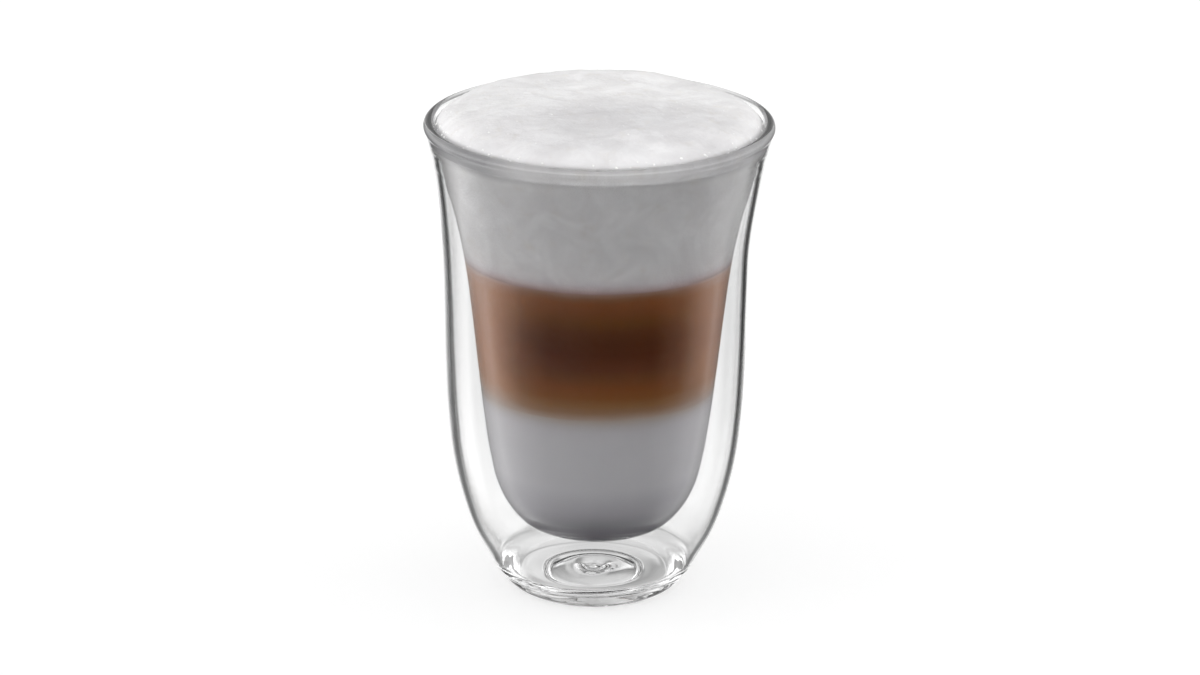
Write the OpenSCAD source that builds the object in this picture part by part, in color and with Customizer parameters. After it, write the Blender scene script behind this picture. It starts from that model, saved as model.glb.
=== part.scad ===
// A layered latte in a tall double-walled glass.
// The glass is one closed piece: an outer wall that stands on a ring, an inner
// cup that holds the drink, and a solid rounded lip where the two walls join,
// with a sealed hollow between them. The drink is three layers that fill the
// inner cup: milk, coffee, and milk foam that crowns above the lip.
// The origin is on the axis, at the height of the table.

/* [Glass outside] */
// Height of the glass from the table to the top of its lip
glass_h = 120; // [114:1:126]
// Widest diameter of the glass, on the rounded lip
rim_d = 85.6; // [85.2:0.2:87]
// Outer diameter of the long straight waist
waist_d = 74.6; // [74.2:0.2:75.4]
// Outer diameter of the ring that the glass stands on
foot_d = 36.8; // [35:0.2:38]
// Inner diameter of the ring that the glass stands on
foot_ring_in_d = 24; // [22:0.5:27]
// Height of the hollow under the base, at its middle
punt_h = 1.9; // [1:0.1:2.2]
// Diameter of the melted seal drop in the middle of the hollow under the base
seal_d = 6; // [5:0.5:7]
// How far the seal drop stands down from the hollow under the base
seal_h = 0.7; // [0.3:0.1:0.9]

/* [Glass walls] */
// Thickness of the outer wall
outer_wall = 1.3; // [1.2:0.05:1.4]
// Thickness of the base that closes the outer wall
base_wall = 2.4; // [2:0.1:2.8]
// Thickness of the inner cup's wall
cup_wall = 1.3; // [1.2:0.05:1.4]
// Thickness of the rounded lip
lip_t = 2.7; // [2.6:0.1:2.9]
// Height of the underside of the inner cup above the table
cup_z = 15.4; // [14:0.2:17]
// Outer diameter of the inner cup at the middle of its height
cup_mid_d = 60.8; // [59.6:0.2:61]
// Share of the glass height at which the two walls join
join_at = 0.966; // [0.962:0.0005:0.967]

/* [Drink] */
// Height of the top of the lower milk above the table
milk_top = 52.5; // [45:0.5:60]
// Height of the top of the coffee above the table
coffee_top = 86.2; // [78:0.5:92]
// Height of the foam's crown above the lip of the glass
foam_rise = 4.9; // [3:0.1:6]
// Height by which the edge of the foam stays below the top of the lip
foam_edge_drop = 1.5; // [1.2:0.1:2]

/* [Hidden] */
// Sides of the turned surfaces
$fn = 128;
// Straight steps in each span of a curve
steps = 5;

waist_r = waist_d / 2;
lip_r = lip_t / 2;
cup_r = cup_mid_d / 2;
rim_r = rim_d / 2;
join_z = glass_h * join_at;

// Speed of a smooth curve at point i of a list of stations, each span taken
// by its own length so that uneven spans don't overshoot
function span(p, i) = norm(p[i + 1] - p[i]);
function run(p, i) = (p[i + 1] - p[i]) / span(p, i);
function lead(p, i) =
    i == 0 ? run(p, 0) :
    i == len(p) - 1 ? run(p, i - 1) :
    (run(p, i - 1) * span(p, i) + run(p, i) * span(p, i - 1))
        / (span(p, i) + span(p, i - 1));

// Point at share t of span i, on the smooth curve through the stations
function along(p, i, t, s, e) =
    let (d = span(p, i),
         m0 = (i == 0 && !is_undef(s)) ? s : lead(p, i),
         m1 = (i == len(p) - 2 && !is_undef(e)) ? e : lead(p, i + 1))
    p[i] * (2 * t * t * t - 3 * t * t + 1)
    + m0 * d * (t * t * t - 2 * t * t + t)
    + p[i + 1] * (3 * t * t - 2 * t * t * t)
    + m1 * d * (t * t * t - t * t);

// The smooth curve through the stations, as steps straight pieces per span;
// s and e give its direction at the first and last station
function smooth(p, n, s, e) =
    concat([for (i = [0 : len(p) - 2]) for (k = [0 : n - 1])
                along(p, i, k / n, s, e)],
           [p[len(p) - 1]]);

// The same curve moved sideways, to its left as it is followed, by d
function beside(c, d) =
    [for (i = [0 : len(c) - 1])
        let (a = c[max(i - 1, 0)], b = c[min(i + 1, len(c) - 1)],
             u = (b - a) / norm(b - a))
        c[i] + d * [-u[1], u[0]]];

// Points of an arc about centre c, radius r, from angle a to angle b
function arc(c, r, a, b, n) =
    [for (k = [0 : n]) let (q = a + (b - a) * k / n) c + r * [cos(q), sin(q)]];

// A curve that rises all the way, cut between two heights
function height_at(c, i, z) =
    c[i] + (c[i + 1] - c[i]) * (z - c[i][1]) / (c[i + 1][1] - c[i][1]);
function cut_at(c, z) =
    [for (i = [0 : len(c) - 2])
        if (c[i][1] <= z && c[i + 1][1] > z) height_at(c, i, z)][0];
function between(c, lo, hi) =
    concat([cut_at(c, lo)], [for (q = c) if (q[1] > lo + 0.02 && q[1] < hi - 0.02) q],
           [cut_at(c, hi)]);
function flip(c) = [for (i = [len(c) - 1 : -1 : 0]) c[i]];

// Outer wall, from the ring it stands on up to the lip
lip_c = [rim_r - lip_r, glass_h - lip_r];
outer_at = [
    [foot_d / 2, 0],
    [waist_r * 0.550, glass_h * 0.0083],
    [waist_r * 0.608, glass_h * 0.0250],
    [waist_r * 0.722, glass_h * 0.0833],
    [waist_r * 0.804, glass_h * 0.1317],
    [waist_r * 0.876, glass_h * 0.1967],
    [waist_r * 0.938, glass_h * 0.2808],
    [waist_r * 0.974, glass_h * 0.3792],
    [waist_r * 0.992, glass_h * 0.4950],
    [waist_r * 1.000, glass_h * 0.6267],
    [waist_r * 1.012, glass_h * 0.7425],
    [waist_r * 1.047, glass_h * 0.8417],
    [rim_r - 1.45, glass_h * 0.9492],
    lip_c + lip_r * [cos(-48), sin(-48)]];
outer_line = smooth(outer_at, steps, [1, 0.10], [sin(16), cos(16)]);

// Outer face of the inner cup, from its middle up to where the walls join
cup_at = [
    [0, cup_z],
    [cup_r * 0.300, cup_z + 0.15],
    [cup_r * 0.500, cup_z + 0.80],
    [cup_r * 0.635, cup_z + 3.10],
    [cup_r * 0.738, cup_z + 6.90],
    [cup_r * 0.818, cup_z + 11.9],
    [cup_r * 0.879, glass_h * 0.2935],
    [cup_r * 0.928, glass_h * 0.3750],
    [cup_r * 0.974, glass_h * 0.4742],
    [cup_r * 1.023, glass_h * 0.5900],
    [cup_r * 1.079, glass_h * 0.7050],
    [cup_r * 1.123, glass_h * 0.7667],
    [cup_r * 1.172, glass_h * 0.8208],
    [cup_r * 1.224, glass_h * 0.8667],
    [cup_r * 1.280, glass_h * 0.9250]];
cup_line = smooth(cup_at, steps, [1, 0]);

// Inside of the inner cup, which the drink fills, up into the lip
cup_in = beside(cup_line, cup_wall);
bowl_line = concat(
    [[0, cup_z + cup_wall]],
    [for (q = cup_in) if (q[0] > 0.5 && q[1] < glass_h * 0.895) q],
    smooth([cut_at(cup_in, glass_h * 0.9),
            lip_c + [-lip_r - 1.22, -(glass_h * 0.0375)],
            lip_c + lip_r * [cos(158), sin(158)]],
           steps, undef, [sin(22), cos(22)]));

// Sealed hollow: the inside of the outer wall, the base, and the cup's outside
floor_z = punt_h + base_wall;
low_z = floor_z + 3.2;
top_z = glass_h * 0.9095;
wall_in = [for (q = beside(outer_line, outer_wall)) if (q[1] > 0.4) q];
hollow_out = between(wall_in, low_z, top_z);
hollow_in = concat([for (q = cup_line) if (q[1] < cup_z + 2) q],
                   between([for (q = cup_line) if (q[0] > 8) q], cup_z + 2, top_z));
low_out = hollow_out[0];
top_out = hollow_out[len(hollow_out) - 1];
top_in = hollow_in[len(hollow_in) - 1];
hollow_floor = smooth([[0, floor_z + 0.30], [low_out[0] * 0.45, floor_z + 0.12],
                       [low_out[0] * 0.72, floor_z + 0.28],
                       [low_out[0] * 0.905, floor_z + 1.15], low_out],
                      steps, [1, 0], [0.49, 0.87]);
// The hollow narrows upward along the inside of the outer wall, to a blunt edge
// just under the lip; gap is how far a point lies from that side
function near_wall(share, gap) =
    cut_at(wall_in, top_z + (join_z - top_z) * share) - [gap, 0];
hollow_top = smooth([top_out, near_wall(0.35, 0), near_wall(0.66, 0),
                     near_wall(0.90, 0.02), near_wall(1, 0.12), near_wall(0.90, 0.22),
                     near_wall(0.66, 0.27), near_wall(0.35, 0.40), top_in], steps);
function inner_part(c) = [for (i = [1 : len(c) - 2]) c[i]];

// Glass with the bowl for the drink open, and nothing between its walls yet
module glass_body() {
    rotate_extrude()
        polygon(concat(
            smooth([[0, punt_h - seal_h], [seal_d * 0.34, punt_h - seal_h * 0.8],
                    [seal_d / 2, punt_h - 0.02], [foot_ring_in_d * 0.40, punt_h - 0.12],
                    [foot_ring_in_d / 2 - 0.6, punt_h * 0.52], [foot_ring_in_d / 2, 0]],
                   steps, [1, 0], [0.3, -0.95]),
            [[foot_d / 2, 0]],
            [for (i = [1 : len(outer_line) - 1]) outer_line[i]],
            arc(lip_c, lip_r, -40, 152, 16),
            flip(bowl_line)));
}

// The sealed hollow between the walls
module hollow() {
    rotate_extrude()
        polygon(concat([hollow_floor[0]], inner_part(hollow_floor), hollow_out,
                       inner_part(hollow_top), flip(hollow_in)));
}

module glass() {
    color([0.90, 0.93, 0.95, 0.45])
        difference() {
            glass_body();
            hollow();
        }
}

// A layer of drink that fills the bowl from height lo to height hi
module layer(lo, hi) {
    rotate_extrude()
        polygon(concat([[0, lo]], between(bowl_line, lo, hi), [[0, hi]]));
}

module milk() {
    color([0.85, 0.84, 0.83])
        rotate_extrude()
            polygon(concat(
                [for (q = bowl_line) if (q[1] < cup_z + 3) q],
                between([for (q = bowl_line) if (q[0] > 8) q], cup_z + 3, milk_top),
                [[0, milk_top]]));
}

module coffee() {
    color([0.36, 0.21, 0.13]) layer(milk_top, coffee_top);
}

// Foam from the coffee up to the lip, crowned like a cushion above it
module foam() {
    edge_z = glass_h - foam_edge_drop;
    side = between(bowl_line, coffee_top, edge_z);
    edge_r = side[len(side) - 1][0];
    crown = glass_h + foam_rise;
    rise = crown - edge_z;
    color([0.95, 0.94, 0.92])
        rotate_extrude()
            polygon(concat(
                [[0, coffee_top]], side,
                [for (q = smooth([[edge_r, edge_z],
                         [edge_r * 0.955, edge_z + rise * 0.33],
                         [edge_r * 0.880, edge_z + rise * 0.62],
                         [edge_r * 0.740, edge_z + rise * 0.85],
                         [edge_r * 0.500, edge_z + rise * 0.96],
                         [0, crown]], steps, [-0.5, 1], [-1, 0])) if (q[1] > edge_z) q]));
}

glass();
milk();
coffee();
foam();
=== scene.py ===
import math
import random

import bpy
import numpy as np
from mathutils import Matrix, Quaternion, Vector


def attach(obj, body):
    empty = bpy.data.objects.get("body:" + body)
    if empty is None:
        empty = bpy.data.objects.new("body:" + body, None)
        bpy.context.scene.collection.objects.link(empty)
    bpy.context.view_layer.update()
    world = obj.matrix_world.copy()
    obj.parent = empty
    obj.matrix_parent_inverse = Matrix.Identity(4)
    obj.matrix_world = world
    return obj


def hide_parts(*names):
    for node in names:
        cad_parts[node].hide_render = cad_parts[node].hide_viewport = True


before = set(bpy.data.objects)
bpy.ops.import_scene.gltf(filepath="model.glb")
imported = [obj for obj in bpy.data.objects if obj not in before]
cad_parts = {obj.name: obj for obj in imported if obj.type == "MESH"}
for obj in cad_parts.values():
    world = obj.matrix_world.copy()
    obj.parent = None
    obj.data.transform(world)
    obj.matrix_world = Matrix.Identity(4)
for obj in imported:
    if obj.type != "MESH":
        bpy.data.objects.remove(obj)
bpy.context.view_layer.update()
MM = 0.001
rng = np.random.default_rng(20311)
random.seed(20311)

# ---------------------------------------------------------------- profile
# The same curves as the CAD part, in millimetres, at a finer step.
GLASS_H, RIM_D, WAIST_D = 120.0, 85.6, 74.6
FOOT_D, RING_IN_D, PUNT_H, SEAL_D, SEAL_H = 36.8, 24.0, 1.9, 6.0, 0.7
OUTER_WALL, BASE_WALL, CUP_WALL, LIP_T, CUP_Z, CUP_MID_D = 1.3, 2.4, 1.3, 2.7, 15.4, 60.8
JOIN_AT = 0.966
MILK_TOP, COFFEE_TOP, FOAM_RISE, FOAM_DROP = 52.5, 86.2, 4.9, 1.5
WR, LR, CR, RR = WAIST_D / 2, LIP_T / 2, CUP_MID_D / 2, RIM_D / 2
FINE = 7


def unit(v):
    return v / np.linalg.norm(v)


def smooth(stations, n, s=None, e=None):
    """Smooth curve through the stations, n pieces a span."""
    p = np.array(stations, float)
    k = len(p)
    d = [np.linalg.norm(p[i + 1] - p[i]) for i in range(k - 1)]
    u = [(p[i + 1] - p[i]) / d[i] for i in range(k - 1)]
    m = [u[0]] + [(u[i - 1] * d[i] + u[i] * d[i - 1]) / (d[i] + d[i - 1]) for i in range(1, k - 1)] + [u[-1]]
    if s is not None:
        m[0] = np.array(s, float)
    if e is not None:
        m[-1] = np.array(e, float)
    out = []
    for i in range(k - 1):
        for j in range(n):
            t = j / n
            out.append(p[i] * (2 * t**3 - 3 * t**2 + 1) + m[i] * d[i] * (t**3 - 2 * t**2 + t)
                       + p[i + 1] * (3 * t**2 - 2 * t**3) + m[i + 1] * d[i] * (t**3 - t**2))
    out.append(p[-1])
    return np.array(out)


def beside(c, d):
    """The curve moved to its left by d."""
    a = np.vstack([c[:1], c[:-1]])
    b = np.vstack([c[1:], c[-1:]])
    u = (b - a) / np.linalg.norm(b - a, axis=1)[:, None]
    return c + d * np.stack([-u[:, 1], u[:, 0]], 1)


def arc(c, r, a, b, n):
    q = np.radians(np.linspace(a, b, n + 1))
    return np.array(c) + r * np.stack([np.cos(q), np.sin(q)], 1)


def cut_at(c, z):
    for i in range(len(c) - 1):
        if c[i][1] <= z < c[i + 1][1]:
            return c[i] + (c[i + 1] - c[i]) * (z - c[i][1]) / (c[i + 1][1] - c[i][1])
    return None


def between(c, lo, hi):
    mid = np.array([q for q in c if lo + 0.02 < q[1] < hi - 0.02])
    return np.vstack([cut_at(c, lo), mid, cut_at(c, hi)])


H = GLASS_H
lip_c = np.array([RR - LR, H - LR])
sin, cos = (lambda d: math.sin(math.radians(d))), (lambda d: math.cos(math.radians(d)))
outer_line = smooth([
    [FOOT_D / 2, 0], [WR * 0.550, H * 0.0083], [WR * 0.608, H * 0.0250], [WR * 0.722, H * 0.0833],
    [WR * 0.804, H * 0.1317], [WR * 0.876, H * 0.1967], [WR * 0.938, H * 0.2808], [WR * 0.974, H * 0.3792],
    [WR * 0.992, H * 0.4950], [WR, H * 0.6267], [WR * 1.012, H * 0.7425], [WR * 1.047, H * 0.8417],
    [RR - 1.45, H * 0.9492], list(lip_c + LR * np.array([cos(-48), sin(-48)]))],
    FINE, [1, 0.10], [sin(16), cos(16)])
cup_line = smooth([
    [0, CUP_Z], [CR * 0.300, CUP_Z + 0.15], [CR * 0.500, CUP_Z + 0.80], [CR * 0.635, CUP_Z + 3.10],
    [CR * 0.738, CUP_Z + 6.90], [CR * 0.818, CUP_Z + 11.9], [CR * 0.879, H * 0.2935], [CR * 0.928, H * 0.3750],
    [CR * 0.974, H * 0.4742], [CR * 1.023, H * 0.5900], [CR * 1.079, H * 0.7050], [CR * 1.123, H * 0.7667],
    [CR * 1.172, H * 0.8208], [CR * 1.224, H * 0.8667], [CR * 1.280, H * 0.9250]], FINE, [1, 0])
cup_in = beside(cup_line, CUP_WALL)
bowl_line = np.vstack([
    [[0, CUP_Z + CUP_WALL]],
    np.array([q for q in cup_in if q[0] > 0.5 and q[1] < H * 0.895]),
    smooth([cut_at(cup_in, H * 0.9), lip_c + [-LR - 1.22, -(H * 0.0375)],
            lip_c + LR * np.array([cos(158), sin(158)])], FINE, None, [sin(22), cos(22)])])
floor_z = PUNT_H + BASE_WALL
low_z = floor_z + 3.2
join_z = H * JOIN_AT
top_z = H * 0.9095
wall_in = np.array([q for q in beside(outer_line, OUTER_WALL) if q[1] > 0.4])
hollow_out = between(wall_in, low_z, top_z)
hollow_in = np.vstack([np.array([q for q in cup_line if q[1] < CUP_Z + 2]),
                       between(np.array([q for q in cup_line if q[0] > 8]), CUP_Z + 2, top_z)])
low_out, top_out, top_in = hollow_out[0], hollow_out[-1], hollow_in[-1]
hollow_floor = smooth([[0, floor_z + 0.30], [low_out[0] * 0.45, floor_z + 0.12], [low_out[0] * 0.72, floor_z + 0.28],
                       [low_out[0] * 0.905, floor_z + 1.15], low_out], FINE, [1, 0], [0.49, 0.87])


def near_wall(share, gap):
    """A point of the hollow's upper end, gap inside its outer side."""
    z = top_z + (join_z - top_z) * share
    return cut_at(wall_in, z) - np.array([gap, 0])


hollow_top = smooth([top_out, near_wall(0.35, 0), near_wall(0.66, 0), near_wall(0.90, 0.02), near_wall(1, 0.12),
                     near_wall(0.90, 0.22), near_wall(0.66, 0.27), near_wall(0.35, 0.40), top_in], FINE)
under = smooth([[0, PUNT_H - SEAL_H], [SEAL_D * 0.34, PUNT_H - SEAL_H * 0.8], [SEAL_D / 2, PUNT_H - 0.02],
                [RING_IN_D * 0.40, PUNT_H - 0.12], [RING_IN_D / 2 - 0.6, PUNT_H * 0.52], [RING_IN_D / 2, 0]],
               FINE, [1, 0], [0.3, -0.95])
body_ring = np.vstack([under, smooth([[RING_IN_D / 2, 0], [FOOT_D / 2, 0]], 6)[1:-1], outer_line,
                       arc(lip_c, LR, -43, 155, 30), bowl_line[::-1]])
hollow_ring = np.vstack([hollow_floor[:-1], hollow_out, hollow_top[1:-1], hollow_in[::-1]])


# ---------------------------------------------------------------- meshes
def new_object(name, verts, faces, smooth_shade=True):
    me = bpy.data.meshes.new(name)
    me.from_pydata([tuple(v) for v in verts], [], faces)
    me.validate()
    if smooth_shade:
        me.polygons.foreach_set("use_smooth", [True] * len(me.polygons))
    me.update()
    o = bpy.data.objects.new(name, me)
    bpy.context.scene.collection.objects.link(o)
    return o


def turned(ring, seg, wobble=None, inward=False, base=0, lean=None, pole=0.0):
    """Vertices (mm) and faces of a ring of (r, z) points turned about Z. The ring starts and ends on the axis."""
    th = np.arange(seg) * 2 * math.pi / seg
    ct, st = np.cos(th), np.sin(th)
    mid = ring[1:-1]
    r = np.repeat(mid[:, 0][:, None], seg, 1)
    z = np.repeat(mid[:, 1][:, None], seg, 1)
    if wobble is not None:
        r, z = wobble(r, z, np.repeat(th[None, :], len(mid), 0))
    x, y = r * ct, r * st
    if lean is not None:
        x = x + lean[:, None] * (1 - ease(z, 84.0, 108.0))
    v = np.stack([x, y, z], -1).reshape(-1, 3)
    verts = np.vstack([v, [[pole, 0, ring[0][1]]], [[0, 0, ring[-1][1]]]])
    n = len(mid)
    lo, hi = base + n * seg, base + n * seg + 1
    faces = []
    for i in range(n - 1):
        a, b = base + i * seg, base + (i + 1) * seg
        for j in range(seg):
            k = (j + 1) % seg
            faces.append((a + j, a + k, b + k, b + j))
    for j in range(seg):
        k = (j + 1) % seg
        faces.append((lo, base + k, base + j))
        faces.append((hi, base + (n - 1) * seg + j, base + (n - 1) * seg + k))
    if inward:
        faces = [f[::-1] for f in faces]
    return verts, faces


def waves(seed, n, kmax, zscale):
    """A sum of soft waves round and along the glass, about -1 to 1."""
    g = np.random.default_rng(seed)
    terms = [(g.integers(1, kmax + 1), g.uniform(-1, 1) / zscale, g.uniform(0, 2 * math.pi), g.uniform(0.4, 1)) for _ in range(n)]
    tot = sum(t[3] for t in terms)

    def f(th, z):
        return sum(a * np.cos(k * th + q * z + p) for k, q, p, a in terms) / tot * 1.8
    return f


w_out, w_hol, w_floor = waves(3, 7, 4, 30), waves(5, 9, 6, 18), waves(8, 8, 4, 6)


def ease(x, a, b):
    t = np.clip((x - a) / (b - a), 0, 1)
    return t * t * (3 - 2 * t)


def wobble_body(r, z, th):
    """Hand-blown unevenness of the underside only: the outside keeps its size, and the bowl meets the drink."""
    under_side = (r < RING_IN_D / 2) & (z < 3)
    dz = 0.16 * w_floor(th, r) * np.clip((RING_IN_D / 2 - r) / 4, 0, 1) * np.clip(r / 2, 0, 1)
    return r, np.where(under_side, z + dz, z)


def wobble_hollow(r, z, th):
    """The inner faces of a blown wall are never quite round."""
    near_floor = 1 - ease(z, floor_z + 0.4, floor_z + 3)
    keep = ease(np.maximum(top_z - 4 - z, 0), 0, 14)
    dr = 0.07 * w_hol(th, z) * keep * (1 - near_floor)
    dz = 0.22 * w_floor(th + 1.1, r * 1.3) * near_floor * np.clip(r / 4, 0, 1)
    return r + dr, z + dz


SEG = 192
# The outer wall was blown a little off the cup's axis, so all but the cup and the lip leans to -X.
LEAN = -0.55
on_cup = np.zeros(len(body_ring) - 2, bool)
on_cup[-(len(bowl_line) - 1):] = True
off_body = np.where(on_cup, 0.0, LEAN)
off_hollow = np.concatenate([np.full(len(hollow_floor) - 2 + len(hollow_out), LEAN), np.zeros(len(hollow_ring) - 1 - len(hollow_floor) + 1 - len(hollow_out))])
va, fa = turned(body_ring, SEG, wobble_body, lean=off_body, pole=LEAN)
vb, fb = turned(hollow_ring, SEG, wobble_hollow, inward=True, base=len(va), lean=off_hollow, pole=LEAN)
glass = new_object("glass_double_wall", np.vstack([va, vb]) * MM, fa + fb)

# The drink reaches 0.15 mm into the wall, so that no air shows between them.
REACH = 0.15
skin = beside(bowl_line, -REACH)
skin[0] = [0, bowl_line[0][1] - REACH]


def skin_between(lo, hi):
    return between(np.array([q for q in skin if q[0] > 8]), lo, hi)


milk_ring = np.vstack([np.array([q for q in skin if q[1] < CUP_Z + 3]), skin_between(CUP_Z + 3, MILK_TOP),
                       [[12.0, MILK_TOP]], [[0, MILK_TOP]]])
coffee_side = skin_between(MILK_TOP, COFFEE_TOP)
coffee_ring = np.vstack([[[0, MILK_TOP]], [[12.0, MILK_TOP]], coffee_side, [[12.0, COFFEE_TOP]], [[0, COFFEE_TOP]]])
mv, mf = turned(milk_ring, SEG)
milk = new_object("milk_lower", mv * MM, mf)
cv, cf = turned(coffee_ring, SEG)
coffee = new_object("coffee_band", cv * MM, cf)
for layer in (milk, coffee):
    layer.data.set_sharp_from_angle(angle=math.radians(40))

# ---------------------------------------------------------------- foam
edge_z = H - FOAM_DROP
foam_side = skin_between(COFFEE_TOP, edge_z)
edge_r = foam_side[-1][0]
rise = H + FOAM_RISE - edge_z
crown = smooth([[edge_r, edge_z], [edge_r * 0.955, edge_z + rise * 0.33], [edge_r * 0.880, edge_z + rise * 0.62],
                [edge_r * 0.740, edge_z + rise * 0.85], [edge_r * 0.500, edge_z + rise * 0.96],
                [0, H + FOAM_RISE]], 60, [-0.5, 1], [-1, 0])


def value_noise(x, y, cell, seed):
    """Smooth random field over the plane, -1 to 1."""
    g = np.random.default_rng(seed)
    n = 128
    tab = g.uniform(-1, 1, (n, n))
    u, v = x / cell, y / cell
    i, j = np.floor(u).astype(int), np.floor(v).astype(int)
    fu, fv = u - i, v - j
    fu, fv = fu * fu * fu * (fu * (6 * fu - 15) + 10), fv * fv * fv * (fv * (6 * fv - 15) + 10)
    a, b = tab[i % n, j % n], tab[(i + 1) % n, j % n]
    c, d = tab[i % n, (j + 1) % n], tab[(i + 1) % n, (j + 1) % n]
    return (a * (1 - fu) + b * fu) * (1 - fv) + (c * (1 - fu) + d * fu) * fv


def foam_relief(x, y):
    """Height of the foam's lumps, bubbles and burst pits above the smooth crown, mm."""
    h = 0.42 * value_noise(x + 3, y, 13.0, 11) + 0.22 * value_noise(x, y + 7, 6.1, 12)
    h += 0.10 * value_noise(x * 0.8 + y * 0.6, y * 0.8 - x * 0.6, 2.7, 13)
    h += 0.05 * value_noise(x * 0.6 - y * 0.8, x * 0.8 + y * 0.6, 1.3, 14)
    return h


FSEG, FRINGS = ((512, 150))
# even steps along the crown, from the edge to the middle
ln = np.concatenate([[0], np.cumsum(np.linalg.norm(np.diff(crown, axis=0), axis=1))])
s_at = np.linspace(0, ln[-1], FRINGS)
cr = np.stack([np.interp(s_at, ln, crown[:, 0]), np.interp(s_at, ln, crown[:, 1])], 1)
foam_ring = np.vstack([[[0, COFFEE_TOP]], [[14.0, COFFEE_TOP]], foam_side[::2], cr])
fv, ff = turned(foam_ring, FSEG)
top = fv[:, 2] > edge_z + 0.05
x, y, z = fv[:, 0], fv[:, 1], fv[:, 2]
rad = np.hypot(x, y)
fade = ease(edge_r - rad, 0.2, 4.0)
h = foam_relief(x, y)
# burst bubbles: small round pits with a soft lip, thicker towards the glass
pits = []
for _ in range(240):
    rr = edge_r * 0.985 * math.sqrt(rng.uniform(0.02, 1))
    aa = rng.uniform(0, 2 * math.pi)
    pits.append((rr * math.cos(aa), rr * math.sin(aa), 0.30 + 0.60 * rng.random() ** 3, rng.uniform(0.3, 0.7)))
for px, py, pr, k in pits:
    near = np.flatnonzero((np.abs(x - px) < 2.2 * pr) & (np.abs(y - py) < 2.2 * pr) & top)
    q = np.hypot(x[near] - px, y[near] - py) / pr
    h[near] += k * pr * (-0.34 * np.exp(-(q / 0.8) ** 2) + 0.10 * np.exp(-((q - 1.2) / 0.36) ** 2))
fv[:, 2] = np.where(top, z + h * fade, z)
foam = new_object("foam_crown", fv * MM, ff)
foam.data.set_sharp_from_angle(angle=math.radians(70))


def crown_height(px, py):
    rr = math.hypot(px, py)
    zz = float(np.interp(-rr, -crown[:, 0], crown[:, 1]))
    f = float(ease(np.array(edge_r - rr), 0.2, 4.0))
    return zz + f * float(foam_relief(np.array(px), np.array(py)))


# whole bubbles that stand in the surface, most of them where the foam meets the lip
def bubble_mesh(spots, rows, cols):
    verts, faces = [], []
    for bx, by, bz, br in spots:
        base = len(verts)
        for i in range(1, rows):
            a = math.pi * i / rows
            for j in range(cols):
                t = 2 * math.pi * j / cols
                verts.append((bx + br * math.sin(a) * math.cos(t), by + br * math.sin(a) * math.sin(t), bz + br * 0.92 * math.cos(a)))
        verts.append((bx, by, bz + br * 0.92))
        verts.append((bx, by, bz - br * 0.92))
        tp, bt = base + (rows - 1) * cols, base + (rows - 1) * cols + 1
        for i in range(rows - 2):
            for j in range(cols):
                k = (j + 1) % cols
                a0, b0 = base + i * cols, base + (i + 1) * cols
                faces.append((a0 + j, b0 + j, b0 + k, a0 + k))
        for j in range(cols):
            k = (j + 1) % cols
            faces.append((tp, base + j, base + k))
            faces.append((bt, base + (rows - 2) * cols + k, base + (rows - 2) * cols + j))
    return verts, faces


spots = []
for _ in range(900):
    if len(spots) >= 260:
        break
    edge = rng.random() < 0.6
    br = 0.14 + 0.26 * rng.random() ** 2.2 if edge else 0.10 + 0.18 * rng.random() ** 2.5
    rr = (edge_r - br - 0.15 - 1.6 * rng.random() ** 2) if edge else edge_r * 0.96 * math.sqrt(rng.random())
    aa = rng.uniform(0, 2 * math.pi)
    bx, by = rr * math.cos(aa), rr * math.sin(aa)
    if any((bx - s[0]) ** 2 + (by - s[1]) ** 2 < (br + s[3]) ** 2 * 0.8 for s in spots):
        continue
    spots.append((bx, by, crown_height(bx, by) - 0.45 * br, br))
bv, bf = bubble_mesh(spots, 8, 14)
bubbles = new_object("foam_bubbles", np.array(bv) * MM, bf)


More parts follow.
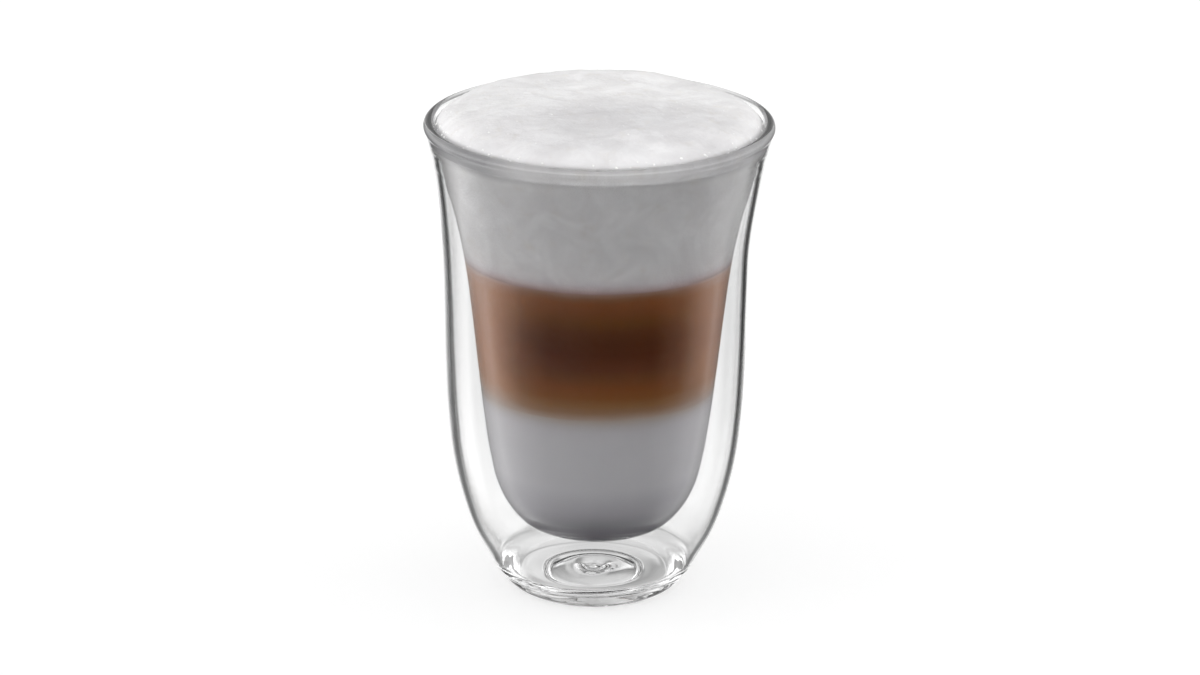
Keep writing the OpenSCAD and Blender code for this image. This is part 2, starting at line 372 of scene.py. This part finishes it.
# ---------------------------------------------------------------- materials
class Nodes:
    def __init__(self, name):
        self.mat = bpy.data.materials.new(name)
        self.mat.use_nodes = True
        self.t = self.mat.node_tree
        self.t.nodes.clear()
        self.out = self.add("ShaderNodeOutputMaterial")
        self.bsdf = self.add("ShaderNodeBsdfPrincipled")
        self.link(self.bsdf.outputs[0], self.out.inputs["Surface"])
        self.co = self.add("ShaderNodeTexCoord").outputs["Object"]

    def add(self, kind, **props):
        n = self.t.nodes.new(kind)
        for k, v in props.items():
            setattr(n, k, v)
        return n

    def link(self, a, b):
        self.t.links.new(a, b)

    def noise(self, scale, detail=3, rough=0.5, distort=0.0, co=None):
        n = self.add("ShaderNodeTexNoise")
        n.inputs["Scale"].default_value = scale
        n.inputs["Detail"].default_value = detail
        n.inputs["Roughness"].default_value = rough
        n.inputs["Distortion"].default_value = distort
        self.link(co or self.co, n.inputs["Vector"])
        return n.outputs["Fac"]

    def math(self, op, a, b=None, c=None):
        n = self.add("ShaderNodeMath", operation=op)
        for i, v in enumerate((a, b, c)):
            if v is None:
                continue
            if isinstance(v, (int, float)):
                n.inputs[i].default_value = v
            else:
                self.link(v, n.inputs[i])
        return n.outputs[0]

    def ramp(self, fac, stops, interp="EASE"):
        n = self.add("ShaderNodeValToRGB")
        cr = n.color_ramp
        cr.interpolation = interp
        while len(cr.elements) > 1:
            cr.elements.remove(cr.elements[-1])
        cr.elements[0].position = stops[0][0]
        cr.elements[0].color = (*stops[0][1], 1)
        for pos, col in stops[1:]:
            e = cr.elements.new(pos)
            e.color = (*col, 1)
        self.link(fac, n.inputs["Fac"])
        return n.outputs["Color"]

    def mix(self, fac, a, b, blend="MIX"):
        n = self.add("ShaderNodeMix", data_type="RGBA", blend_type=blend)
        for sock, v in ((n.inputs[0], fac), (n.inputs[6], a), (n.inputs[7], b)):
            if isinstance(v, (int, float)):
                sock.default_value = v
            elif isinstance(v, (tuple, list)):
                sock.default_value = (*v, 1)
            else:
                self.link(v, sock)
        return n.outputs[2]

    def height(self):
        """Height above the table, in millimetres."""
        s = self.add("ShaderNodeSeparateXYZ")
        self.link(self.co, s.inputs[0])
        return self.math("MULTIPLY", s.outputs["Z"], 1000.0)

    def span(self, v, lo, hi):
        n = self.add("ShaderNodeMapRange", clamp=True)
        self.link(v, n.inputs["Value"])
        n.inputs["From Min"].default_value = lo
        n.inputs["From Max"].default_value = hi
        return n.outputs["Result"]

    def bump(self, h, strength, dist):
        n = self.add("ShaderNodeBump")
        n.inputs["Strength"].default_value = strength
        n.inputs["Distance"].default_value = dist
        self.link(h, n.inputs["Height"])
        self.link(n.outputs["Normal"], self.bsdf.inputs["Normal"])

    def set(self, **kw):
        for k, v in kw.items():
            self.bsdf.inputs[k.replace("_", " ")].default_value = v


# Clear borosilicate glass, with the faint waviness of a blown wall
g = Nodes("glass_clear")
g.set(Metallic=0.0, IOR=1.47)
g.bsdf.inputs["Transmission Weight"].default_value = 1.0
g.bsdf.inputs["Base Color"].default_value = (1, 1, 1, 1)
rough = g.span(g.noise(55.0, 3, 0.6), 0.35, 0.75)
g.link(g.math("MULTIPLY", rough, 0.006), g.bsdf.inputs["Roughness"])
g.bump(g.noise(40.0, 1, 0.4, 0.2), 0.02, 0.0004)

# Milk: a cool white, slightly streaked, warmed by coffee in its last millimetres
m = Nodes("milk_white")
m.set(Roughness=0.35)
m.bsdf.inputs["Specular IOR Level"].default_value = 0.05
hz = m.height()
wav = m.math("MULTIPLY", m.math("SUBTRACT", m.noise(60.0, 3, 0.55), 0.5), 1.6)
hz_w = m.math("ADD", hz, wav)
base = m.mix(m.noise(38.0, 4, 0.6, 0.6), (0.862, 0.855, 0.88), (0.958, 0.95, 0.97))
edge = m.ramp(m.span(hz_w, MILK_TOP - 6.0, MILK_TOP),
              [(0.0, (1, 1, 1)), (0.42, (0.96, 0.955, 0.96)), (0.70, (0.88, 0.86, 0.84)), (0.92, (0.80, 0.72, 0.65)), (1.0, (0.75, 0.65, 0.56))], "LINEAR")
# painted shade: the milk darkens towards the cup's bottom, where less light reaches it
milk_bottom_painted_shade = m.ramp(m.span(hz, CUP_Z, CUP_Z + 18.0),
             [(0.0, (0.35, 0.34, 0.368)), (0.18, (0.41, 0.40, 0.430)), (0.36, (0.505, 0.495, 0.525)), (0.62, (0.765, 0.757, 0.782)), (1.0, (1, 0.995, 1))], "LINEAR")
# painted light: paler towards the two sides and greyer in the middle, where the side light falls
mx = m.add("ShaderNodeSeparateXYZ")
m.link(m.co, mx.inputs[0])
off = m.math("ABSOLUTE", m.math("SUBTRACT", m.math("MULTIPLY", mx.outputs["X"], 1000.0), 0.5))
off = m.math("ADD", off, m.math("MULTIPLY", m.math("SUBTRACT", m.noise(50.0, 3, 0.6), 0.5), 4.0))
milk_side_painted_light = m.ramp(m.span(off, 12.0, 27.0), [(0.0, (0.785, 0.785, 0.785)), (0.40, (0.86, 0.86, 0.86)), (1.0, (1, 1, 1))], "LINEAR")
m.link(m.mix(1.0, m.mix(1.0, m.mix(1.0, base, edge, "MULTIPLY"), milk_bottom_painted_shade, "MULTIPLY"), milk_side_painted_light, "MULTIPLY"), m.bsdf.inputs["Base Color"])

# Coffee: darkest in the middle of the band, caramel below, rosy brown under the foam,
# and painted light: paler and more orange at the two sides, where the side light glows through it
c = Nodes("coffee_brown")
c.set(Roughness=0.3)
c.bsdf.inputs["Specular IOR Level"].default_value = 0.05
hz = c.height()
wav = c.math("MULTIPLY", c.math("SUBTRACT", c.noise(45.0, 3, 0.55), 0.5), 2.6)
hz_w = c.math("ADD", hz, wav)
tone = c.span(hz_w, MILK_TOP, COFFEE_TOP)
col = c.ramp(tone, [
    (0.0, (0.56, 0.45, 0.38)), (0.02, (0.50, 0.37, 0.29)), (0.06, (0.40, 0.24, 0.145)), (0.10, (0.37, 0.188, 0.085)),
    (0.17, (0.31, 0.124, 0.036)), (0.25, (0.278, 0.100, 0.031)), (0.32, (0.228, 0.086, 0.031)), (0.40, (0.178, 0.059, 0.026)),
    (0.52, (0.134, 0.037, 0.013)), (0.61, (0.137, 0.041, 0.014)), (0.70, (0.173, 0.058, 0.021)), (0.775, (0.212, 0.081, 0.024)),
    (0.85, (0.268, 0.100, 0.034)), (0.925, (0.325, 0.122, 0.044)), (0.96, (0.33, 0.160, 0.088)), (1.0, (0.45, 0.31, 0.27))], "LINEAR")
# painted light: this side colour stands in for the side light glowing through the coffee
pale = c.ramp(tone, [
    (0.0, (0.68, 0.58, 0.53)), (0.07, (0.67, 0.45, 0.33)), (0.16, (0.66, 0.345, 0.185)), (0.5, (0.64, 0.305, 0.155)),
    (0.90, (0.65, 0.33, 0.175)), (0.97, (0.66, 0.40, 0.29)), (1.0, (0.68, 0.51, 0.46))], "LINEAR")
sx_c = c.add("ShaderNodeSeparateXYZ")
c.link(c.co, sx_c.inputs[0])
side_x = c.math("ADD", c.math("MULTIPLY", sx_c.outputs["X"], 1000.0), -0.8)
side_w = c.math("ADD", c.math("ABSOLUTE", side_x), c.math("MULTIPLY", c.math("SUBTRACT", c.noise(70.0, 3, 0.6), 0.5), 4.0))
side_glow_mask = c.ramp(c.span(side_w, 12.0, 27.0), [(0.0, (0, 0, 0)), (0.13, (0.05, 0.05, 0.05)), (0.43, (0.20, 0.20, 0.20)), (0.57, (0.40, 0.40, 0.40)),
                                         (0.67, (0.58, 0.58, 0.58)), (0.87, (0.90, 0.90, 0.90)), (1.0, (1, 1, 1))], "LINEAR")
col = c.mix(side_glow_mask, col, pale)
streak = c.mix(c.noise(30.0, 5, 0.6, 1.0), (0.84, 0.82, 0.80), (1.16, 1.15, 1.12))
c.link(c.mix(1.0, col, streak, "MULTIPLY"), c.bsdf.inputs["Base Color"])

# Foam: off-white, faintly mottled, with fine bubbles in its surface
f = Nodes("foam_white")
f.set(Roughness=0.6)
f.bsdf.inputs["Specular IOR Level"].default_value = 0.25
hz = f.height()
wav = f.math("MULTIPLY", f.math("SUBTRACT", f.noise(60.0, 3, 0.55), 0.5), 1.6)
hz_w = f.math("ADD", hz, wav)
patch = f.mix(f.span(f.noise(62.0, 4, 0.6, 0.5), 0.33, 0.66), (0.885, 0.88, 0.889), (0.955, 0.95, 0.956))
fleck = f.mix(f.span(f.noise(240.0, 3, 0.65), 0.56, 0.78), (1.0, 1.0, 1.0), (0.955, 0.94, 0.91))
blotch = f.mix(f.span(f.noise(95.0, 4, 0.65, 0.8), 0.40, 0.64), (0.90, 0.893, 0.893), (1.0, 1.0, 1.0))
body = f.mix(1.0, f.mix(1.0, patch, fleck, "MULTIPLY"), blotch, "MULTIPLY")
# painted shade: the foam just under the lip and the crown's lower slope are greyer than the foam lower in the glass,
# darkest at the crown's edge
crown_painted_shade = f.ramp(f.span(hz, 112.0, 126.0),
                    [(0.0, (1, 1, 1)), (0.18, (0.98, 0.98, 0.98)), (0.34, (0.80, 0.80, 0.80)), (0.48, (0.72, 0.72, 0.72)), (0.58, (0.86, 0.86, 0.858)),
                     (0.72, (0.92, 0.92, 0.916)), (0.86, (0.98, 0.98, 0.975)), (1.0, (1, 1, 0.995))], "LINEAR")
# painted shade: the crown is greyer towards the front
fx = f.add("ShaderNodeSeparateXYZ")
f.link(f.co, fx.inputs[0])
dx = f.math("MULTIPLY", f.math("SUBTRACT", fx.outputs["X"], 0.002), 0.6)
dy = f.math("ADD", fx.outputs["Y"], 0.021)
away = f.math("SQRT", f.math("ADD", f.math("MULTIPLY", dx, dx), f.math("MULTIPLY", dy, dy)))
away = f.math("ADD", away, f.math("MULTIPLY", f.math("SUBTRACT", f.noise(90.0, 3, 0.6), 0.5), 0.010))
front_painted_shade = f.ramp(f.span(away, 0.0, 0.030), [(0.0, (0.80, 0.797, 0.805)), (0.45, (0.84, 0.837, 0.845)), (0.85, (0.98, 0.98, 0.98)), (1.0, (1, 1, 1))], "LINEAR")
on_top = f.span(hz, 117.0, 120.0)
crown_painted_shade = f.mix(1.0, crown_painted_shade, f.mix(on_top, (1.0, 1.0, 1.0), front_painted_shade), "MULTIPLY")
# painted shade: the foam under the lip is darker, darkest at the two sides
under_lip_shade_zone = f.ramp(f.span(hz, 110.0, 120.0), [(0.0, (0, 0, 0)), (0.36, (0, 0, 0)), (0.60, (1, 1, 1)), (0.87, (1, 1, 1)), (1.0, (0, 0, 0))], "LINEAR")
lip_painted_shade = f.ramp(f.span(fx.outputs["X"], -0.040, 0.040),
                  [(0.0, (0.42, 0.42, 0.43)), (0.16, (0.50, 0.50, 0.51)), (0.30, (0.90, 0.90, 0.90)), (0.5, (0.95, 0.95, 0.95)), (0.70, (0.92, 0.92, 0.92)),
                   (0.86, (0.74, 0.74, 0.75)), (1.0, (0.66, 0.66, 0.67))], "LINEAR")
crown_painted_shade = f.mix(1.0, crown_painted_shade, f.mix(under_lip_shade_zone, (1.0, 1.0, 1.0), lip_painted_shade), "MULTIPLY")
body = f.mix(1.0, body, crown_painted_shade, "MULTIPLY")
edge = f.ramp(f.span(hz_w, COFFEE_TOP, COFFEE_TOP + 4.0),
              [(0.0, (0.57, 0.40, 0.37)), (0.30, (0.82, 0.73, 0.74)), (0.60, (0.94, 0.92, 0.93)), (1.0, (1, 1, 1))], "LINEAR")
f.link(f.mix(1.0, body, edge, "MULTIPLY"), f.bsdf.inputs["Base Color"])
vor = f.add("ShaderNodeTexVoronoi", feature="F1")
vor.inputs["Scale"].default_value = 1500.0
f.link(f.co, vor.inputs["Vector"])
tiny = f.math("ADD", f.math("MULTIPLY", vor.outputs["Distance"], 0.7), f.noise(900.0, 3, 0.6))
f.bump(tiny, 0.30, 0.00022)

# Whole bubbles: thin, shiny, almost white
b = Nodes("foam_bubble")
b.set(Roughness=0.25)
b.bsdf.inputs["Specular IOR Level"].default_value = 0.4
b.link(b.mix(b.noise(400.0, 2), (0.90, 0.90, 0.90), (0.95, 0.945, 0.93)), b.bsdf.inputs["Base Color"])

for o, mat in ((glass, g), (milk, m), (coffee, c), (foam, f), (bubbles, b)):
    o.data.materials.append(mat.mat)

for o, node in ((glass, "glass"), (milk, "milk"), (coffee, "coffee"), (foam, "foam")):
    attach(o, "root")
    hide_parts(node)
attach(bubbles, "root")

# ---------------------------------------------------------------- stage
bpy.ops.mesh.primitive_circle_add(vertices=96, radius=40.0, fill_type="NGON", location=(0, 0, 0))
floor = bpy.context.object
floor.name = "floor"
fl = Nodes("floor_pale")
fl.set(Roughness=0.7)
fl.bsdf.inputs["Specular IOR Level"].default_value = 0.1
fl.link(fl.mix(fl.noise(3.0, 2), (0.50, 0.50, 0.50), (0.52, 0.52, 0.52)), fl.bsdf.inputs["Base Color"])
fl.bsdf.inputs["Emission Color"].default_value = (1, 1, 1, 1)
fl.bsdf.inputs["Emission Strength"].default_value = 0.58
floor.data.materials.append(fl.mat)
floor.visible_transmission = False
floor.visible_glossy = False

# Studio light: bright wall behind and soft panels at the sides and above,
# dark gaps between them that draw the glass's edges, and a dim front.
world = bpy.data.worlds.new("studio")
bpy.context.scene.world = world
world.use_nodes = True
wt = world.node_tree
wt.nodes.clear()


def wn(kind, **props):
    n = wt.nodes.new(kind)
    for k, v in props.items():
        setattr(n, k, v)
    return n


def wm(op, a, b=None, c=None):
    n = wn("ShaderNodeMath", operation=op)
    for i, v in enumerate((a, b, c)):
        if v is None:
            continue
        if isinstance(v, (int, float)):
            n.inputs[i].default_value = v
        else:
            wt.links.new(v, n.inputs[i])
    return n.outputs[0]


def wramp(v, lo, hi, stops, interp="EASE"):
    mr = wn("ShaderNodeMapRange", clamp=True)
    wt.links.new(v, mr.inputs["Value"])
    mr.inputs["From Min"].default_value = lo
    mr.inputs["From Max"].default_value = hi
    n = wn("ShaderNodeValToRGB")
    cr = n.color_ramp
    cr.interpolation = interp
    while len(cr.elements) > 1:
        cr.elements.remove(cr.elements[-1])
    first = True
    for at, val in stops:
        pos = (at - lo) / (hi - lo)
        if first:
            e = cr.elements[0]
            e.position = pos
            first = False
        else:
            e = cr.elements.new(pos)
        e.color = (val, val, val, 1)
    wt.links.new(mr.outputs["Result"], n.inputs["Fac"])
    s = wn("ShaderNodeSeparateColor")
    wt.links.new(n.outputs["Color"], s.inputs[0])
    return s.outputs["Red"]


def mixf(fac, a, b):
    n = wn("ShaderNodeMix", data_type="FLOAT")
    for sock, v in ((n.inputs[0], fac), (n.inputs[2], a), (n.inputs[3], b)):
        if isinstance(v, (int, float)):
            sock.default_value = v
        else:
            wt.links.new(v, sock)
    return n.outputs[0]


tc = wn("ShaderNodeTexCoord")
sp = wn("ShaderNodeSeparateXYZ")
wt.links.new(tc.outputs["Generated"], sp.inputs[0])
sx, sy, sz = sp.outputs
azim = wm("MULTIPLY", wm("ARCTAN2", sx, sy), 180 / math.pi)   # 0 behind the glass, 180 at the camera, + to the right
elev = wm("MULTIPLY", wm("ARCSINE", sz), 180 / math.pi)
TOP = 4.0   # a ramp holds up to 1, so light levels are stored as a share of this

# Light level round the horizon at four heights, as (degrees from straight behind, level)
RINGS = [
    (-50, [(-180, 0.12), (-120, 0.65), (-80, 1.0), (-45, 1.7), (-25, 0.45), (0, 0.05), (25, 0.35), (45, 1.35), (80, 0.8), (120, 0.05), (180, 0.12)]),
    (-19, [(-180, 0.0), (-130, 0.0), (-95, 0.40), (-75, 0.85), (-60, 1.40), (-50, 0.50), (-42, 0.04), (-18, 0.04), (-15, 0.95),
           (0, 0.95), (15, 0.95), (18, 0.04), (42, 0.04), (50, 0.50), (60, 0.30), (75, 0.60), (95, 0.04), (130, 0.0), (180, 0.0)]),
    (10, [(-180, 3.2), (-120, 4.0), (-80, 3.3), (-45, 1.9), (-20, 1.0), (-6, 0.5), (6, 0.5), (20, 0.9), (45, 1.35), (80, 3.4), (120, 3.7), (180, 3.2)]),
    (40, [(-180, 0.5), (-120, 1.3), (-80, 1.3), (-45, 0.95), (0, 0.8), (45, 1.1), (80, 1.5), (120, 0.9), (180, 0.5)]),
]
heights = [-90] + [e for e, _ in RINGS] + [75]
level = None
for i, (e, stops) in enumerate(RINGS):
    share = wramp(elev, -90, 90, [(heights[i], 0.0), (e, 1.0), (heights[i + 2], 0.0)], "LINEAR")
    ring = wramp(azim, -180, 180, [(a, v / TOP) for a, v in stops], "LINEAR")
    part = wm("MULTIPLY", share, ring)
    level = part if level is None else wm("ADD", level, part)
level = wm("MULTIPLY", level, TOP)
# what shows straight through the walls: a bright backdrop with dark flags every 45 degrees
fold = wm("PINGPONG", wm("ABSOLUTE", azim), 22.5)
flags = wm("MULTIPLY", wramp(fold, 0, 22.5, [(0, 0.40), (5, 0.41), (8, 0.52), (12, 0.68), (14.5, 0.76), (17.0, 0.015), (22.5, 0.015)], "LINEAR"), 2.0)
# towards the table: bright again far down, and a darker band where the table ends
fade = wramp(elev, -90, 90, [(-90, 0.55), (-60, 0.72), (-48, 0.90), (-38, 0.75), (-34, 0.60), (-31, 0.36), (-28.5, 0.26), (-25.5, 0.18), (90, 0.18)], "LINEAR")
fade_mid = wramp(elev, -90, 90, [(-90, 0.55), (-60, 0.68), (-38, 0.74), (-25.5, 0.64), (90, 0.64)], "LINEAR")
mid = wramp(azim, -180, 180, [(-180, 0), (-7, 0), (-3.5, 1), (0, 0.8), (3, 0), (180, 0)], "LINEAR")
low_down = wramp(elev, -90, 90, [(-90, 1.0), (-25.5, 1.0), (-22.0, 0.0), (90, 0.0)], "LINEAR")
clear = mixf(low_down, flags, mixf(mid, fade, fade_mid))
lp = wn("ShaderNodeLightPath")
bounced = wm("MINIMUM", wm("ADD", lp.outputs["Glossy Depth"], lp.outputs["Diffuse Depth"]), 1.0)
level = mixf(bounced, clear, level)
bg = wn("ShaderNodeBackground")
wt.links.new(level, bg.inputs["Strength"])
bg.inputs["Color"].default_value = (1, 1, 1, 1)
plain = wn("ShaderNodeBackground")
plain.inputs["Color"].default_value = (1.0, 1.0, 1.0, 1)
plain.inputs["Strength"].default_value = 1.0
ms = wn("ShaderNodeMixShader")
wo = wn("ShaderNodeOutputWorld")
wt.links.new(lp.outputs["Is Camera Ray"], ms.inputs[0])
wt.links.new(bg.outputs[0], ms.inputs[1])
wt.links.new(plain.outputs[0], ms.inputs[2])
wt.links.new(ms.outputs[0], wo.inputs["Surface"])
world.cycles.sampling_method = "MANUAL"
world.cycles.sample_map_resolution = 1024

# ---------------------------------------------------------------- camera
cam_data = bpy.data.cameras.new("camera")
cam = bpy.data.objects.new("camera", cam_data)
bpy.context.scene.collection.objects.link(cam)
cam_data.lens = 144.4
cam_data.sensor_width = 36.0
cam_data.clip_start, cam_data.clip_end = 0.05, 60.0
DIST, ELEV = 1.188, math.radians(19.2)
target = Vector((0, 0, 0.060))
cam.location = target + Vector((0, -math.cos(ELEV), math.sin(ELEV))) * DIST
AIM = Vector((0.0006, 0, 0.0640))
look = (AIM - cam.location).to_track_quat("-Z", "Y")
cam.rotation_mode = "QUATERNION"
cam.rotation_quaternion = look @ Quaternion((0, 0, 1), math.radians(0.5))
bpy.context.scene.camera = cam

sc = bpy.context.scene
sc.view_settings.view_transform = "Standard"
sc.view_settings.look = "None"
sc.cycles.max_bounces = 28
sc.cycles.transmission_bounces = 28
sc.cycles.glossy_bounces = 12
sc.cycles.diffuse_bounces = 5
sc.cycles.transparent_max_bounces = 16
sc.cycles.caustics_reflective = True
sc.cycles.caustics_refractive = True
sc.cycles.sample_clamp_indirect = 12.0
sc.cycles.use_denoising = True
